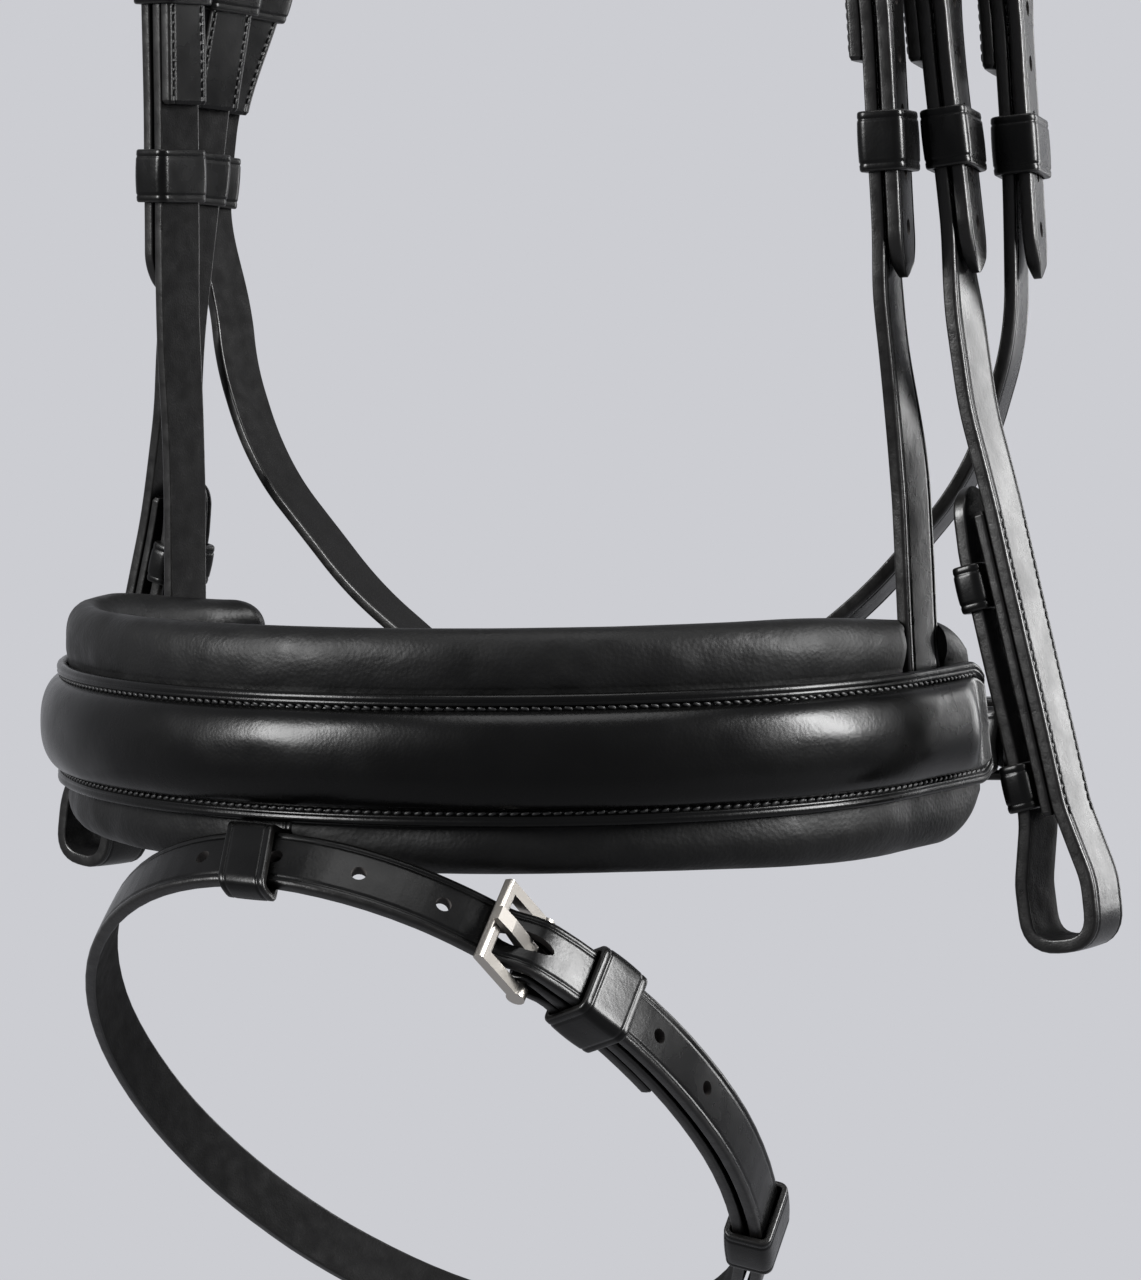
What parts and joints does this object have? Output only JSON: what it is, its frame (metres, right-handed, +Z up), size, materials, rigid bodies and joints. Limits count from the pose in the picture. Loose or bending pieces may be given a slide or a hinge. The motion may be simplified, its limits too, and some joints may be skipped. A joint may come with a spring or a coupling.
{
  "type": "padded snaffle bridle with flash noseband",
  "caption": "Black leather snaffle bridle: padded raised noseband with a flash strap, cheekpieces with bit loops, throatlash, browband and padded headpiece, hanging from the poll",
  "frame": {"origin": "the point on the headpiece pad's underside, midway across, that rests on the poll", "axes": "+X to the horse's near (left) side, +Y back from the nose, +Z up"},
  "size_m": [0.288, 0.197, 0.5734],
  "materials": {
    "bridle_leather": "smooth black bridle leather with a satin gloss on the grain side and a matte grey-black flesh side",
    "lining_leather": "soft matte black nappa over padding",
    "roll_filling": "felted filling closed inside the raised roll",
    "buckle_steel": "brushed stainless steel, slightly warm"
  },
  "bodies": {
    "headpiece": {"headpiece": "bridle_leather", "headpiece_pad": "lining_leather"},
    "browband": {"browband": "bridle_leather", "browband_lining": "lining_leather"},
    "cheek_near": {"cheekpiece_near": "bridle_leather", "cheek_billet_near": "bridle_leather", "cheek_buckle_near": "buckle_steel", "cheek_keeper_fixed_near": "bridle_leather", "cheek_loop_keeper_upper_near": "bridle_leather", "cheek_loop_keeper_lower_near": "bridle_leather"},
    "cheek_off": {"cheekpiece_off": "bridle_leather", "cheek_billet_off": "bridle_leather", "cheek_buckle_off": "buckle_steel", "cheek_keeper_fixed_off": "bridle_leather", "cheek_loop_keeper_upper_off": "bridle_leather", "cheek_loop_keeper_lower_off": "bridle_leather"},
    "noseband": {"noseband_shell": "bridle_leather", "noseband_filler": "roll_filling", "noseband_lining": "lining_leather", "jaw_strap_near": "bridle_leather", "jaw_strap_off": "bridle_leather", "jaw_buckle": "buckle_steel", "flash_tab": "bridle_leather", "noseband_hanger_near": "bridle_leather", "hanger_billet_near": "bridle_leather", "hanger_buckle_near": "buckle_steel", "hanger_keeper_fixed_near": "bridle_leather", "noseband_hanger_off": "bridle_leather", "hanger_billet_off": "bridle_leather", "hanger_buckle_off": "buckle_steel", "hanger_keeper_fixed_off": "bridle_leather"},
    "throatlash": {"throatlash": "bridle_leather", "throat_billet_near": "bridle_leather", "throat_buckle_near": "buckle_steel", "throat_keeper_fixed_near": "bridle_leather", "throat_billet_off": "bridle_leather", "throat_buckle_off": "buckle_steel", "throat_keeper_fixed_off": "bridle_leather"},
    "flash": {"flash_loop": "bridle_leather", "flash_strap": "bridle_leather", "flash_buckle": "buckle_steel", "flash_keeper_fixed": "bridle_leather"},
    "hanger_tongue_near": {"hanger_tongue_near": "buckle_steel"},
    "hanger_runner_near": {"hanger_keeper_near": "bridle_leather"},
    "hanger_tongue_off": {"hanger_tongue_off": "buckle_steel"},
    "hanger_runner_off": {"hanger_keeper_off": "bridle_leather"},
    "cheek_tongue_near": {"cheek_tongue_near": "buckle_steel"},
    "cheek_runner_near": {"cheek_keeper_near": "bridle_leather"},
    "cheek_tongue_off": {"cheek_tongue_off": "buckle_steel"},
    "cheek_runner_off": {"cheek_keeper_off": "bridle_leather"},
    "throat_tongue_near": {"throat_tongue_near": "buckle_steel"},
    "throat_runner_near": {"throat_keeper_near": "bridle_leather"},
    "throat_tongue_off": {"throat_tongue_off": "buckle_steel"},
    "throat_runner_off": {"throat_keeper_off": "bridle_leather"},
    "jaw_tongue": {"jaw_tongue": "buckle_steel"},
    "jaw_runner": {"jaw_keeper": "bridle_leather"},
    "flash_tongue": {"flash_tongue": "buckle_steel"},
    "flash_runner": {"flash_keeper": "bridle_leather"}
  },
  "joints": [
    {"name": "browband_slide", "type": "slide", "parent": "headpiece", "child": "browband", "axis": [0, 0, 1], "range_m": [-0.008, 0.008]},
    {"name": "cheek_near_swing", "type": "hinge", "parent": "headpiece", "child": "cheek_near", "pos_m": [0.0955, 0.0165, -0.205], "axis": [0, -1, 0], "range_deg": [0, 30]},
    {"name": "cheek_off_swing", "type": "hinge", "parent": "headpiece", "child": "cheek_off", "pos_m": [-0.0955, 0.0165, -0.205], "axis": [0, 1, 0], "range_deg": [0, 30]},
    {"name": "noseband_swing", "type": "hinge", "parent": "headpiece", "child": "noseband", "pos_m": [0, -0.005, -0.205], "axis": [-1, 0, 0], "range_deg": [0, 6]},
    {"name": "throatlash_swing", "type": "hinge", "parent": "headpiece", "child": "throatlash", "pos_m": [0, 0.038, -0.205], "axis": [1, 0, 0], "range_deg": [0, 10]},
    {"name": "flash_lift", "type": "hinge", "parent": "noseband", "child": "flash", "pos_m": [0, -0.096, -0.4265], "axis": [1, 0, 0], "range_deg": [0, 10]},
    {"name": "hanger_tongue_near_turn", "type": "hinge", "parent": "noseband", "child": "hanger_tongue_near", "pos_m": [0.0935, -0.005, -0.227], "axis": [0, 0.999, 0.0436], "range_deg": [0, 10]},
    {"name": "hanger_runner_near_slide", "type": "slide", "parent": "noseband", "child": "hanger_runner_near", "axis": [-0.0384, -0.0436, 0.9983], "range_m": [-0.008, 0.008]},
    {"name": "hanger_tongue_off_turn", "type": "hinge", "parent": "noseband", "child": "hanger_tongue_off", "pos_m": [-0.0935, -0.005, -0.227], "axis": [0, -0.999, -0.0436], "range_deg": [0, 10]},
    {"name": "hanger_runner_off_slide", "type": "slide", "parent": "noseband", "child": "hanger_runner_off", "axis": [0.0384, -0.0436, 0.9983], "range_m": [-0.008, 0.008]},
    {"name": "cheek_tongue_near_turn", "type": "hinge", "parent": "cheek_near", "child": "cheek_tongue_near", "pos_m": [0.0945, 0.0165, -0.227], "axis": [0, 1, -0.0087], "range_deg": [0, 10]},
    {"name": "cheek_runner_near_slide", "type": "slide", "parent": "cheek_near", "child": "cheek_runner_near", "axis": [-0.1392, 0.0086, 0.9902], "range_m": [-0.008, 0.008]},
    {"name": "cheek_tongue_off_turn", "type": "hinge", "parent": "cheek_off", "child": "cheek_tongue_off", "pos_m": [-0.0945, 0.0165, -0.227], "axis": [0, -1, 0.0087], "range_deg": [0, 10]},
    {"name": "cheek_runner_off_slide", "type": "slide", "parent": "cheek_off", "child": "cheek_runner_off", "axis": [0.1392, 0.0086, 0.9902], "range_m": [-0.008, 0.008]},
    {"name": "throat_tongue_near_turn", "type": "hinge", "parent": "throatlash", "child": "throat_tongue_near", "pos_m": [0.1015, 0.038, -0.227], "axis": [0, 0.9997, -0.0262], "range_deg": [0, 10]},
    {"name": "throat_runner_near_slide", "type": "slide", "parent": "throatlash", "child": "throat_runner_near", "axis": [-0.0958, 0.0261, 0.9951], "range_m": [-0.008, 0.008]},
    {"name": "throat_tongue_off_turn", "type": "hinge", "parent": "throatlash", "child": "throat_tongue_off", "pos_m": [-0.1015, 0.038, -0.227], "axis": [0, -0.9997, 0.0262], "range_deg": [0, 10]},
    {"name": "throat_runner_off_slide", "type": "slide", "parent": "throatlash", "child": "throat_runner_off", "axis": [0.0958, 0.0261, 0.9951], "range_m": [-0.008, 0.008]},
    {"name": "jaw_tongue_turn", "type": "hinge", "parent": "noseband", "child": "jaw_tongue", "pos_m": [0.07849, 0.06467, -0.414], "axis": [0, 0, -1], "range_deg": [0, 10]},
    {"name": "jaw_runner_slide", "type": "slide", "parent": "noseband", "child": "jaw_runner", "axis": [-0.5341, 0.8454, 0], "range_m": [-0.002, 0.002]},
    {"name": "flash_tongue_turn", "type": "hinge", "parent": "flash", "child": "flash_tongue", "pos_m": [0.05933, -0.07464, -0.45211], "axis": [-0.1011, 0.6986, 0.7084], "range_deg": [0, 10]},
    {"name": "flash_runner_slide", "type": "slide", "parent": "flash", "child": "flash_runner", "axis": [-0.3641, 0.6367, -0.6798], "range_m": [-0.004, 0.004]}
  ]
}
